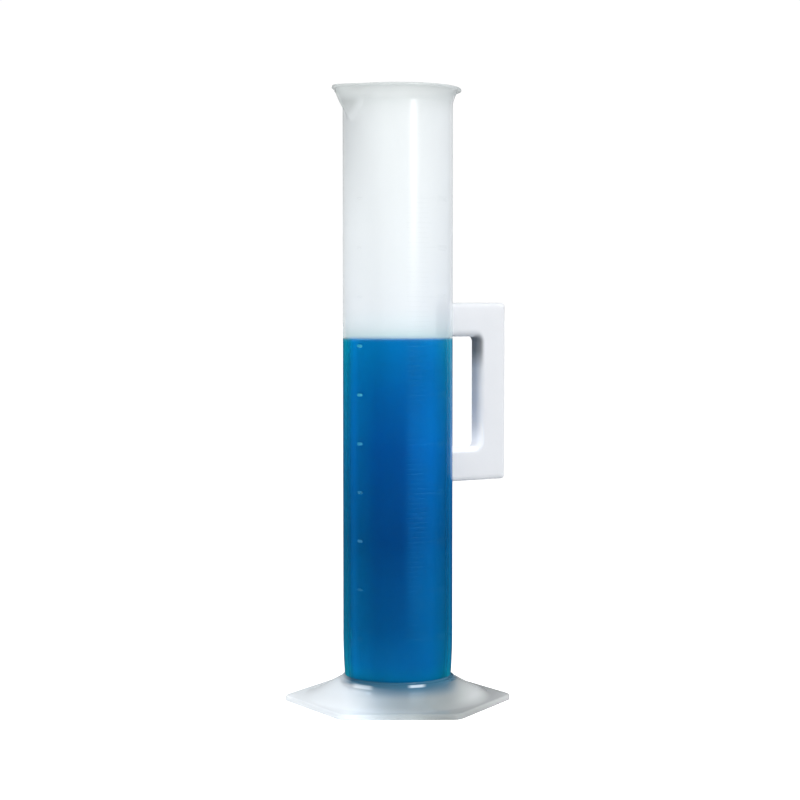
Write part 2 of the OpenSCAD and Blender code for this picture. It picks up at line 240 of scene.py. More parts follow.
def foot_mesh():
    n = 360
    rows = []        # (kind, value, z): kind "r" is a radius, "h" an inset from the hexagon
    rows += [("r", SPIGOT_R + 0.12, COLLAR_Z - 6), ("r", SPIGOT_R + 0.12, COLLAR_Z - 0.5), ("r", SPIGOT_R + 0.5, COLLAR_Z - 0.05), ("r", COLLAR_R - 0.7, COLLAR_Z)]
    rows += [("r", COLLAR_R - 0.2, COLLAR_Z - 0.15), ("r", COLLAR_R + 0.15, COLLAR_Z - 0.6)]
    r0, z0 = COLLAR_R + 0.5, COLLAR_Z - 1.15
    m = 16
    for i in range(m + 1):
        t = i / m
        rr = r0 + (CONE_R - r0) * t
        zz = FLANGE + (z0 - FLANGE) * (1 - t) ** 1.22
        rows.append(("r", rr, zz))
    rows += [("h", 1.8, FLANGE - 0.02), ("h", 1.1, FLANGE - 0.1), ("h", 0.5, FLANGE - 0.4), ("h", 0.12, FLANGE - 0.9), ("h", 0.0, FLANGE - 1.5), ("h", 0.0, 1.7), ("h", 0.0, 0.7), ("h", 0.2, 0.2), ("h", 0.7, 0.0),
             ("h", 2.6, 0.0), ("h", 3.1, 0.2), ("h", 3.25, 0.6), ("h", 3.35, 1.1), ("h", 3.7, 1.6), ("h", 4.4, FLANGE - SHELL)]
    for i in range(m + 1):
        t = 1 - i / m
        rr = (COLLAR_R + 1.5) + (CONE_R - 8 - COLLAR_R - 1.5) * t
        zz = (FLANGE - SHELL) + (z0 - FLANGE - 2.4) * (1 - t) ** 1.15
        rows.append(("r", rr, zz))
    top = rows[-1][2]
    rows += [("r", COLLAR_R + 0.4, top - 0.5), ("r", COLLAR_R, top - 1.4), ("r", COLLAR_R, 3.0), ("r", COLLAR_R - 0.1, 1.6), ("r", COLLAR_R - 0.6, 1.2), ("r", SPIGOT_R + 0.4, 1.2), ("r", SPIGOT_R, 1.6),
             ("r", SPIGOT_R, 7.6), ("r", SPIGOT_R - 1, BOTTOM_Z - SHELL), ("r", 30, BOTTOM_Z - SHELL), ("r", 20, BOTTOM_Z - SHELL), ("r", 9, BOTTOM_Z - SHELL), ("r", 7.4, BOTTOM_Z - SHELL - 0.5), ("r", 7, BOTTOM_Z - SHELL - 1.6),
             ("r", 7, 0.6), ("r", 6.8, 0.1), ("r", 6.2, 0.0), ("r", 2.0, 0.0), ("r", 0.0, 0.0)]
    bottom = len(rows)
    rows += [("r", 0.0, BOTTOM_Z - 0.06), ("r", 20, BOTTOM_Z - 0.06), ("r", SPIGOT_R - 3, BOTTOM_Z - 0.06), ("r", SPIGOT_R - 0.8, BOTTOM_Z + 0.5), ("r", SPIGOT_R + 0.12, BOTTOM_Z + 3)]
    verts, rings = [], []
    for kind, val, z in rows:
        if kind == "r" and val < 1e-6:
            rings.append([len(verts)])
            verts.append((0, 0, z))
            continue
        ring = []
        for k in range(n):
            a = 2 * math.pi * k / n
            r = val if kind == "r" else hex_radius(a, val)
            ring.append(len(verts))
            verts.append((r * math.cos(a), r * math.sin(a), z))
        rings.append(ring)
    faces = []
    def join(p, q):
        for k in range(n):
            m2 = (k + 1) % n
            if len(p) == 1:
                faces.append((p[0], q[k], q[m2]))
            elif len(q) == 1:
                faces.append((p[k], q[0], p[m2]))
            else:
                faces.append((p[k], q[k], q[m2], p[m2]))
    for i in range(bottom - 1):
        join(rings[i], rings[i + 1])
    for i in range(bottom, len(rings) - 1):
        join(rings[i], rings[i + 1])
    join(rings[-1], rings[0])
    # ribs, each a closed strip just clear of the walls it stands between
    def rib(a, pts, w=1.1):
        base = len(verts)
        c, s = math.cos(a), math.sin(a)
        for side in (-1, 1):
            for r, z in pts:
                verts.append((r * c - side * w * s, r * s + side * w * c, z))
        m3 = len(pts)
        faces.append(tuple(base + i for i in range(m3)))
        faces.append(tuple(base + m3 + i for i in reversed(range(m3))))
        for i in range(m3):
            j = (i + 1) % m3
            faces.append((base + i, base + m3 + i, base + m3 + j, base + j))
    for k in range(6):
        a = math.radians(30 + 60 * k)
        rib(a, [(7.1, 0.8), (SPIGOT_R - 0.1, 0.8 + 0.5), (SPIGOT_R - 0.1, 7.4), (SPIGOT_R - 1.1, BOTTOM_Z - SHELL - 0.08), (8.9, BOTTOM_Z - SHELL - 0.08), (7.2, BOTTOM_Z - SHELL - 1.7)])
        cone = []
        for i in range(9):
            t = i / 8
            rr = (COLLAR_R + 1.6) + (CONE_R - 8 - COLLAR_R - 1.6) * t
            zz = (FLANGE - SHELL) + (z0 - FLANGE - 2.4) * (1 - (rr - COLLAR_R - 1.5) / (CONE_R - 8 - COLLAR_R - 1.5)) ** 1.15 - 0.08
            cone.append((rr, zz))
        edge = hex_radius(a, 4.6)
        rib(a, [(COLLAR_R + 0.1, 1.4), (edge, 0.8), (edge, FLANGE - SHELL - 0.3), (edge - 2, FLANGE - SHELL - 0.08)] + cone[::-1] + [(COLLAR_R + 0.1, top - 1.5)])
    return verts, faces

v, f = foot_mesh()
cT, sT = math.cos(FOOT_TURN), math.sin(FOOT_TURN)
v = [(x * cT - y * sT, x * sT + y * cT, z) for x, y, z in v]
foot = new_mesh("hex_foot", v, f, angle=38)
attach(foot, "root"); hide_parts("foot")

# fillet of weld between the tube and the collar
r_at = lambda z: TUBE_R - taper(z)
p = [(SPIGOT_R + 0.02, COLLAR_Z - 0.02), (COLLAR_R - 0.65, COLLAR_Z - 0.02), (COLLAR_R - 0.7, COLLAR_Z + 0.08)]
for i in range(7):
    t = i / 6
    z = COLLAR_Z + 0.15 + 1.4 * t
    p.append((r_at(z) + 1.4 * (1 - t) ** 2.2 + 0.02, z))
p.append((r_at(COLLAR_Z + 1.6) - 0.02, COLLAR_Z + 1.7))
p.append(p[0])
v, f = revolve(p, n=180)
foot_weld = new_mesh("foot_weld_bead", v, f, angle=60)
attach(foot_weld, "root"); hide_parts("foot_weld")

# ---------------------------------------------------------------- handle
Z0, Z1 = h_lo[2], h_hi[2]
X1 = h_hi[0]
HT = (h_hi[1] - h_lo[1]) / 2
BAR = 27.2
R_IN, R_OUT = 6.0, 4.5
CORNER, FILLET = 3.2, 4.5

def corner_points(cx, cz, sx, sz, rad, n, flip=False):
    """Angles of a quarter turn in n steps, each paired with rad. The corner point (cx, cz) and the directions sx and sz
    are not used.
    """
    pts = []
    for i in range(n + 1):
        a = math.pi / 2 * i / n
        pts.append((a, rad))
    return pts

def outer_chain(d, x_end, n=10):
    rad = max(CORNER - d, 0.02)
    x1, z0, z1 = X1 - d, Z0 + d, Z1 - d
    pts = []
    m = 12
    for i in range(m):
        pts.append((x_end + (x1 - rad - x_end) * i / m, z0))
    for i in range(n + 1):
        a = -math.pi / 2 + math.pi / 2 * i / n
        pts.append((x1 - rad + rad * math.cos(a), z0 + rad + rad * math.sin(a)))
    for i in range(1, 24):
        pts.append((x1, z0 + rad + (z1 - z0 - 2 * rad) * i / 24))
    for i in range(n + 1):
        a = math.pi / 2 * i / n
        pts.append((x1 - rad + rad * math.cos(a), z1 - rad + rad * math.sin(a)))
    for i in range(1, m + 1):
        pts.append((x1 - rad + (x_end - x1 + rad) * i / m, z1))
    return pts

def inner_chain(d, x_end, n=10):
    """Finger side, from the upper arm's end down to the lower arm's end."""
    xi, z0, z1 = X1 - BAR + d, Z0 + BAR - d, Z1 - BAR + d
    rad = FILLET + d
    pts = []
    m = 12
    for i in range(m):
        pts.append((x_end + (xi - rad - x_end) * i / m, z1))
    for i in range(n + 1):
        a = math.pi / 2 - math.pi / 2 * i / n
        pts.append((xi - rad + rad * math.cos(a), z1 - rad + rad * math.sin(a)))
    for i in range(1, 24):
        pts.append((xi, z1 - rad - (z1 - z0 - 2 * rad) * i / 24))
    for i in range(n + 1):
        a = -math.pi / 2 * i / n
        pts.append((xi - rad + rad * math.cos(a), z0 + rad + rad * math.sin(a)))
    for i in range(1, m + 1):
        pts.append((xi - rad + (x_end - xi + rad) * i / m, z0))
    return pts

def handle_mesh():
    K = 9
    def rows(R):
        out = []
        for i in range(K + 1):
            a = math.pi / 2 * i / K
            out.append((R * (1 - math.sin(a)), -(HT - R) - R * math.cos(a)))
        flat = HT - R
        if flat > 0.2:
            out.append((0.0, 0.0))
        for i in range(K, -1, -1):
            a = math.pi / 2 * i / K
            out.append((R * (1 - math.sin(a)), (HT - R) + R * math.cos(a)))
        return out
    verts, faces = [], []
    def chain_rows(fn, R):
        idx = []
        for d, y in rows(R):
            x_end = math.sqrt(TUBE_R ** 2 - y * y) - 0.15
            ring = []
            for x, z in fn(d, x_end):
                ring.append(len(verts))
                verts.append((x, y, z))
            idx.append(ring)
        return idx
    o = chain_rows(outer_chain, R_OUT)
    i_ = chain_rows(inner_chain, R_IN)
    for grid in (o, i_):
        for p, q in zip(grid, grid[1:]):
            for k in range(len(p) - 1):
                faces.append((p[k], p[k + 1], q[k + 1], q[k]))
    # flat sides, as quad strips between the two chains
    def side(oc, ic, flip):
        # lower arm, grip and upper arm: pair points by proportion along each chain
        no, ni = len(oc), len(ic)
        ic2 = ic[::-1]
        # both chains have the same counts: 12 + 11 + 23 + 11 + 12
        for k in range(no - 1):
            quad = (oc[k], ic2[k], ic2[k + 1], oc[k + 1])
            faces.append(quad if not flip else quad[::-1])
    side(o[0], i_[0], False)
    side(o[-1], i_[-1], True)
    # ends against the tube
    def end(col_o, col_i):
        m = len(col_o)
        loop = col_o + col_i[::-1]
        faces.append(tuple(loop))
    end([r[0] for r in o], [r[-1] for r in i_])
    end([r[-1] for r in o][::-1], [r[0] for r in i_][::-1])
    return verts, faces

v, f = handle_mesh()
handle = new_mesh("handle_grip", v, f, angle=35)
import bmesh
bm = bmesh.new(); bm.from_mesh(handle.data); bmesh.ops.recalc_face_normals(bm, faces=bm.faces); bm.to_mesh(handle.data); bm.free()
handle.data.set_sharp_from_angle(angle=math.radians(35))
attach(handle, "root"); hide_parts("handle")

# ---------------------------------------------------------------- scale
def arc_bars(name, specs, node):
    """Half-round raised lines that hug the tube and fade into it at both ends. specs: (height, first angle, last angle, thickness, rise)."""
    verts, faces = [], []
    prof = [(-0.5, -0.12), (-0.43, 0.35), (-0.3, 0.75), (-0.12, 0.97), (0.12, 0.97), (0.3, 0.75), (0.43, 0.35), (0.5, -0.12)]
    for z, a0, a1, t, h in specs:
        steps = max(6, int((a1 - a0) / 1.5))
        cap = [0.0, 0.25, 0.6, 1.0]
        stops = []
        e = math.degrees(t * 0.5 / TUBE_R)
        for i, c in enumerate(cap):
            stops.append((a0 + e * (i / 3) * 1.0, [0.12, 0.62, 0.9, 1.0][i]))
        for i in range(1, steps):
            stops.append((a0 + e + (a1 - a0 - 2 * e) * i / steps, 1.0))
        for i, c in enumerate(cap):
            stops.append((a1 - e + e * (i / 3) * 1.0, [1.0, 0.9, 0.62, 0.12][i]))
        base = len(verts)
        m = len(prof)
        for ang, k in stops:
            a = math.radians(ang)
            for pz, pr in prof:
                r = TUBE_R + (h * pr * (k if pr > 0 else 1))
                verts.append((r * math.cos(a), r * math.sin(a), z + t * pz * (0.35 + 0.65 * k)))
        for i in range(len(stops) - 1):
            for j in range(m - 1):
                faces.append((base + i * m + j, base + (i + 1) * m + j, base + (i + 1) * m + j + 1, base + i * m + j + 1))
            faces.append((base + i * m + m - 1, base + (i + 1) * m + m - 1, base + (i + 1) * m, base + i * m))
        faces.append(tuple(base + j for j in range(m)))
        faces.append(tuple(base + (len(stops) - 1) * m + j for j in reversed(range(m))))
    ob = new_mesh(name, verts, faces, angle=60)
    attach(ob, "root"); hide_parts(node)
    return ob

ma_lo, ma_hi = box_mm("major_lines")
first = ma_lo[2] + 0.49
last = ma_hi[2] - 0.49
per200 = (last - first) / 9
A0 = -115.0
major = arc_bars("main_scale_lines", [(first + per200 * k, A0, A0 + 33, 1.0, 0.48) for k in range(10)], "major_lines")
medium = arc_bars("half_scale_lines", [(first + per200 * (k + 0.5), A0, A0 + 29, 0.85, 0.42) for k in range(9)], "medium_lines")
minor = arc_bars("fine_scale_lines", [(first + per200 * k / 10, A0, A0 + 24, 0.75, 0.4) for k in range(91) if k % 5], "minor_lines")
side = arc_bars("spout_side_marks", [(first + per200 * k, -167 - 3.7, -167 + 3.7, 2.4, 0.7) for k in range(10)], "side_marks")

# ---------------------------------------------------------------- materials
RIGHT = (math.cos(math.radians(-34)), math.sin(math.radians(-34)), 0.0)
def material(name):
    m = bpy.data.materials.new(name)
    m.use_nodes = True
    nt = m.node_tree
    for n in list(nt.nodes):
        nt.nodes.remove(n)
    out = nt.nodes.new("ShaderNodeOutputMaterial")
    return m, nt, out

def node(nt, kind, **kw):
    n = nt.nodes.new(kind)
    for k, val in kw.items():
        if k.startswith("i_"):
            n.inputs[k[2:].replace("_", " ")].default_value = val
        else:
            setattr(n, k, val)
    return n

def link(nt, a, b):
    nt.links.new(a, b)

def noise_bump(nt, bsdf, scale, strength, detail=3.0, distance=0.0002, stretch=None):
    tc = node(nt, "ShaderNodeTexCoord")
    src = tc.outputs["Object"]
    if stretch:
        mp = node(nt, "ShaderNodeMapping")
        mp.inputs["Scale"].default_value = stretch
        link(nt, src, mp.inputs["Vector"])
        src = mp.outputs["Vector"]
    nz = node(nt, "ShaderNodeTexNoise")
    nz.inputs["Scale"].default_value = scale
    nz.inputs["Detail"].default_value = detail
    link(nt, src, nz.inputs["Vector"])
    bp = node(nt, "ShaderNodeBump")
    bp.inputs["Strength"].default_value = strength
    bp.inputs["Distance"].default_value = distance
    link(nt, nz.outputs["Fac"], bp.inputs["Height"])
    link(nt, bp.outputs["Normal"], bsdf.inputs["Normal"])
    return nz

def height_ramp(nt, stops, lo, hi):
    """A colour ramp up the object's own Z. stops: (height in mm, colour)."""
    tc = node(nt, "ShaderNodeTexCoord")
    sep = node(nt, "ShaderNodeSeparateXYZ")
    link(nt, tc.outputs["Object"], sep.inputs[0])
    mr = node(nt, "ShaderNodeMapRange")
    mr.inputs["From Min"].default_value = lo * MM
    mr.inputs["From Max"].default_value = hi * MM
    link(nt, sep.outputs["Z"], mr.inputs["Value"])
    cr = node(nt, "ShaderNodeValToRGB")
    el = cr.color_ramp.elements
    while len(el) > 1:
        el.remove(el[-1])
    el[0].position = (stops[0][0] - lo) / (hi - lo)
    el[0].color = (*stops[0][1], 1)
    for z, c in stops[1:]:
        e = el.new((z - lo) / (hi - lo))
        e.color = (*c, 1)
    link(nt, mr.outputs["Result"], cr.inputs["Fac"])
    return cr, sep

def srgb(r, g, b):
    def f(u):
        u /= 255
        return u / 12.92 if u <= 0.04045 else ((u + 0.055) / 1.055) ** 2.4
    return (f(r), f(g), f(b))

# colour of the liquid up its height: painted shade, deepest at a third of the height, and painted light near the
# surface
WET = [(0, (0.0, 0.34, 0.78)), (22, (0.0, 0.34, 0.78)), (34, (0.0, 0.26, 0.74)), (61, (0.0, 0.17, 0.55)), (131, (0.0, 0.108, 0.43)), (201, (0.0, 0.145, 0.58)), (244, (0.0, 0.225, 0.74)), (LEVEL - 1, (0.0, 0.37, 0.95))]

def painted_side_shading(nt, fac, stops):
    """A painted light-and-shade ramp across the tube, from its left edge (-1) to its right edge (1). The values are
    stored at a quarter.
    """
    cr = node(nt, "ShaderNodeValToRGB")
    el = cr.color_ramp.elements
    first_, last_ = stops[0], stops[-1]
    el[0].position = 0.0; el[0].color = (first_[1] / 4, first_[1] / 4, first_[2] / 4, 1)
    el[1].position = 1.0; el[1].color = (last_[1] / 4, last_[1] / 4, last_[2] / 4, 1)
    for d_, g_, b_ in stops[1:-1]:
        e = el.new((d_ + 1) / 2); e.color = (g_ / 4, g_ / 4, b_ / 4, 1)
    link(nt, fac, cr.inputs["Fac"])
    return cr.outputs["Color"]

def across_normal(nt):
    """0 at the left edge of a round thing, 1 at its right edge, from wherever it is seen."""
    geo = node(nt, "ShaderNodeNewGeometry")
    vt = node(nt, "ShaderNodeVectorTransform", vector_type="NORMAL", convert_from="WORLD", convert_to="CAMERA")
    link(nt, geo.outputs["Normal"], vt.inputs[0])
    dt = node(nt, "ShaderNodeSeparateXYZ")
    link(nt, vt.outputs[0], dt.inputs[0])
    to01 = node(nt, "ShaderNodeMapRange")
    to01.inputs["From Min"].default_value = -1.0
    to01.inputs["From Max"].default_value = 1.0
    link(nt, dt.outputs["X"], to01.inputs["Value"])
    return to01.outputs["Result"]

def liquid_with_painted_light(nt, color):
    """The liquid's colour with painted shade in its dark core and painted light on its lighter, greener flanks,
    strongest at mid height.
    """
    fac = across_normal(nt)
    mid = painted_side_shading(nt, fac, [(-1.0, 1.9, 1.1), (-0.94, 1.95, 1.0), (-0.83, 2.45, 1.9), (-0.72, 1.9, 1.3), (-0.40, 1.07, 1.0), (0.0, 0.90, 0.87), (0.12, 0.94, 0.9), (0.26, 1.33, 1.12), (0.62, 1.54, 1.22), (0.92, 1.05, 0.70), (1.0, 1.0, 0.75)])
    end = painted_side_shading(nt, fac, [(-1.0, 1.4, 0.9), (-0.94, 1.42, 0.80), (-0.83, 1.7, 1.5), (-0.72, 1.35, 1.15), (-0.40, 0.98, 0.89), (0.0, 0.89, 0.85), (0.27, 0.78, 0.77), (0.62, 0.82, 0.78), (0.92, 0.78, 0.52), (1.0, 0.75, 0.5)])
    wz, _ = height_ramp(nt, [(0, (0.0,) * 3), (34, (0.0,) * 3), (61, (0.4,) * 3), (120, (1.0,) * 3), (205, (1.0,) * 3), (262, (0.0,) * 3), (LEVEL, (0.0,) * 3)], 0, LEVEL + 1)
    both = node(nt, "ShaderNodeMix", data_type="RGBA")
    link(nt, wz.outputs["Color"], both.inputs["Factor"]); link(nt, end, both.inputs["A"]); link(nt, mid, both.inputs["B"])
    mul = node(nt, "ShaderNodeVectorMath", operation="MULTIPLY")
    link(nt, color, mul.inputs[0]); link(nt, both.outputs["Result"], mul.inputs[1])
    sc = node(nt, "ShaderNodeVectorMath", operation="SCALE")
    link(nt, mul.outputs[0], sc.inputs[0]); sc.inputs["Scale"].default_value = 4.0
    return sc.outputs[0]

# milky tube: see-through where the liquid wets it, milky above
def tube_material():
    m, nt, out = material("milky_polypropylene")
    bs = node(nt, "ShaderNodeBsdfPrincipled")
    bs.inputs["Roughness"].default_value = 0.22
    bs.inputs["IOR"].default_value = 1.49
    nz = noise_bump(nt, bs, 38, 0.10, detail=2, distance=0.0006, stretch=(1, 1, 0.25))
    # painted light and shade up the tube: the liquid's painted shade below the level, a painted pale cyan glow of blue
    # light just above it, and painted shade towards the rim
    cr, sep = height_ramp(nt, WET + [(LEVEL + 0.8, (0.70, 0.95, 0.95)), (LEVEL + 8, (0.85, 0.96, 0.97)), (LEVEL + 24, (0.93, 0.96, 0.97)), (RIM_Z - 22, (0.93, 0.96, 0.96)), (RIM_Z - 9, (0.84, 0.88, 0.87)), (RIM_Z, (0.72, 0.77, 0.76))], 0, RIM_Z)
    wetz, _ = height_ramp(nt, [(0, (1.0,) * 3), (LEVEL - 0.8, (1.0,) * 3), (LEVEL + 0.2, (0.0,) * 3), (RIM_Z, (0.0,) * 3)], 0, RIM_Z)
    pick = node(nt, "ShaderNodeMix", data_type="RGBA")
    link(nt, wetz.outputs["Color"], pick.inputs["Factor"])
    # painted shade across the dry tube, darker towards its right edge
    quarter = painted_side_shading(nt, across_normal(nt), [(-1.0, 1.04, 1.04), (-0.6, 1.0, 1.0), (-0.2, 0.93, 0.93), (0.1, 0.87, 0.87), (0.3, 0.81, 0.81), (0.62, 0.70, 0.71), (1.0, 0.60, 0.62)])
    whole = node(nt, "ShaderNodeVectorMath", operation="MULTIPLY")
    link(nt, cr.outputs["Color"], whole.inputs[0]); link(nt, quarter, whole.inputs[1])
    dryc = node(nt, "ShaderNodeVectorMath", operation="SCALE")
    link(nt, whole.outputs[0], dryc.inputs[0]); dryc.inputs["Scale"].default_value = 4.0
    link(nt, dryc.outputs[0], pick.inputs["A"]); link(nt, liquid_with_painted_light(nt, cr.outputs["Color"]), pick.inputs["B"])
    link(nt, pick.outputs["Result"], bs.inputs["Base Color"])
    # painted glow standing for backlight spread by the milky plastic, weaker where the wall turns away
    lwg = node(nt, "ShaderNodeLayerWeight")
    lwg.inputs["Blend"].default_value = 0.5
    glow = node(nt, "ShaderNodeMapRange")
    glow.inputs["From Min"].default_value = 0.0
    glow.inputs["From Max"].default_value = 0.75
    glow.inputs["To Min"].default_value = 0.245
    glow.inputs["To Max"].default_value = 0.19
    link(nt, lwg.outputs["Facing"], glow.inputs["Value"])
    dry, _ = height_ramp(nt, [(0, (0.0,) * 3), (LEVEL - 0.8, (0.0,) * 3), (LEVEL + 0.4, (0.6,) * 3), (LEVEL + 14, (1.0,) * 3), (RIM_Z - 60, (1.0,) * 3), (RIM_Z - 18, (1.0,) * 3), (RIM_Z - 6, (0.85,) * 3), (RIM_Z, (0.6,) * 3)], 0, RIM_Z)
    es = node(nt, "ShaderNodeMath", operation="MULTIPLY")
    link(nt, glow.outputs["Result"], es.inputs[0]); link(nt, dry.outputs["Color"], es.inputs[1])
    # towards the left the painted glow fades up the tube, and the spout's beak takes less of it, as painted shade
    tcg = node(nt, "ShaderNodeTexCoord")
    lt = node(nt, "ShaderNodeVectorMath", operation="DOT_PRODUCT")
    link(nt, tcg.outputs["Object"], lt.inputs[0]); lt.inputs[1].default_value = RIGHT
    lw_ = node(nt, "ShaderNodeMapRange", interpolation_type="SMOOTHSTEP")
    lw_.inputs["From Min"].default_value = -13 * MM
    lw_.inputs["From Max"].default_value = -37 * MM
    link(nt, lt.outputs["Value"], lw_.inputs["Value"])
    rise = node(nt, "ShaderNodeMapRange")
    rise.inputs["From Min"].default_value = 475 * MM
    rise.inputs["From Max"].default_value = 370 * MM
    rise.inputs["To Min"].default_value = -0.08
    rise.inputs["To Max"].default_value = 0.09
    link(nt, sep.outputs["Z"], rise.inputs["Value"])
    lr = node(nt, "ShaderNodeMath", operation="MULTIPLY")
    link(nt, lw_.outputs["Result"], lr.inputs[0]); link(nt, rise.outputs["Result"], lr.inputs[1])
    lrd = node(nt, "ShaderNodeMath", operation="MULTIPLY")
    link(nt, lr.outputs[0], lrd.inputs[0]); link(nt, dry.outputs["Color"], lrd.inputs[1])
    flat = node(nt, "ShaderNodeVectorMath", operation="MULTIPLY")
    link(nt, tcg.outputs["Object"], flat.inputs[0]); flat.inputs[1].default_value = (1, 1, 0)
    ln = node(nt, "ShaderNodeVectorMath", operation="LENGTH")
    link(nt, flat.outputs[0], ln.inputs[0])
    out_ = node(nt, "ShaderNodeMapRange", interpolation_type="SMOOTHSTEP")
    out_.inputs["From Min"].default_value = 44 * MM
    out_.inputs["From Max"].default_value = 49 * MM
    out_.inputs["To Max"].default_value = -0.20
    link(nt, ln.outputs["Value"], out_.inputs["Value"])
    low, _ = height_ramp(nt, [(0, (0.0,) * 3), (RIM_Z - 50, (0.0,) * 3), (RIM_Z - 40, (1.0,) * 3), (RIM_Z - 14, (1.0,) * 3), (RIM_Z - 8, (0.0,) * 3), (RIM_Z, (0.0,) * 3)], 0, RIM_Z)
    beak = node(nt, "ShaderNodeMath", operation="MULTIPLY")
    link(nt, out_.outputs["Result"], beak.inputs[0]); link(nt, low.outputs["Color"], beak.inputs[1])
    a1 = node(nt, "ShaderNodeMath", operation="ADD")
    link(nt, es.outputs[0], a1.inputs[0]); link(nt, lrd.outputs[0], a1.inputs[1])
    a2 = node(nt, "ShaderNodeMath", operation="ADD")
    link(nt, a1.outputs[0], a2.inputs[0]); link(nt, beak.outputs[0], a2.inputs[1])
    a3 = node(nt, "ShaderNodeMath", operation="MAXIMUM")
    link(nt, a2.outputs[0], a3.inputs[0]); a3.inputs[1].default_value = 0.0
    bs.inputs["Emission Color"].default_value = (0.94, 0.98, 1.0, 1)
    link(nt, a3.outputs[0], bs.inputs["Emission Strength"])
    # the wetted wall shows less gloss than the dry one
    gl, _ = height_ramp(nt, [(0, (0.12,) * 3), (LEVEL - 1.0, (0.12,) * 3), (LEVEL + 1.0, (0.5,) * 3), (RIM_Z, (0.5,) * 3)], 0, RIM_Z)
    link(nt, gl.outputs["Color"], bs.inputs["Specular IOR Level"])
    tr = node(nt, "ShaderNodeBsdfTransparent")
    ar, _ = height_ramp(nt, [(0, (0.3,) * 3), (LEVEL - 1.0, (0.3,) * 3), (LEVEL + 0.6, (0.50,) * 3), (LEVEL + 40, (0.56,) * 3), (RIM_Z - 22, (0.56,) * 3), (RIM_Z - 9, (0.60,) * 3), (RIM_Z, (0.66,) * 3)], 0, RIM_Z)
    # the liquid fills the wall's edge when seen through the curved plastic
    lw = node(nt, "ShaderNodeLayerWeight")
    lw.inputs["Blend"].default_value = 0.5
    edge = node(nt, "ShaderNodeMapRange", interpolation_type="SMOOTHSTEP")
    edge.inputs["From Min"].default_value = 0.50
    edge.inputs["From Max"].default_value = 0.70
    link(nt, lw.outputs["Facing"], edge.inputs["Value"])
    wet, _ = height_ramp(nt, [(0, (1.0,) * 3), (LEVEL - 0.8, (1.0,) * 3), (LEVEL + 0.2, (0.0,) * 3), (RIM_Z, (0.0,) * 3)], 0, RIM_Z)
    both = node(nt, "ShaderNodeMath", operation="MULTIPLY")
    link(nt, edge.outputs["Result"], both.inputs[0]); link(nt, wet.outputs["Color"], both.inputs[1])
    alpha = node(nt, "ShaderNodeMath", operation="MAXIMUM")
    link(nt, ar.outputs["Color"], alpha.inputs[0]); link(nt, both.outputs[0], alpha.inputs[1])
    mix = node(nt, "ShaderNodeMixShader")
    link(nt, alpha.outputs[0], mix.inputs[0])
    link(nt, tr.outputs[0], mix.inputs[1])
    link(nt, bs.outputs[0], mix.inputs[2])
    link(nt, mix.outputs[0], out.inputs["Surface"])
    return m

def solution_material():
    m, nt, out = material("blue_solution")
    bs = node(nt, "ShaderNodeBsdfPrincipled")
    bs.inputs["Roughness"].default_value = 0.12
    bs.inputs["IOR"].default_value = 1.36
    # the liquid's painted shade up its height, with painted light at its top surface
    cr, sep = height_ramp(nt, WET + [(LEVEL + 1, (0.002, 0.30, 0.88))], 0, LEVEL + 2)
    link(nt, liquid_with_painted_light(nt, cr.outputs["Color"]), bs.inputs["Base Color"])
    bs.inputs["Specular IOR Level"].default_value = 0.3
    noise_bump(nt, bs, 20, 0.03, detail=1, distance=0.001, stretch=(1, 1, 0.4))
    link(nt, bs.outputs[0], out.inputs["Surface"])
    return m

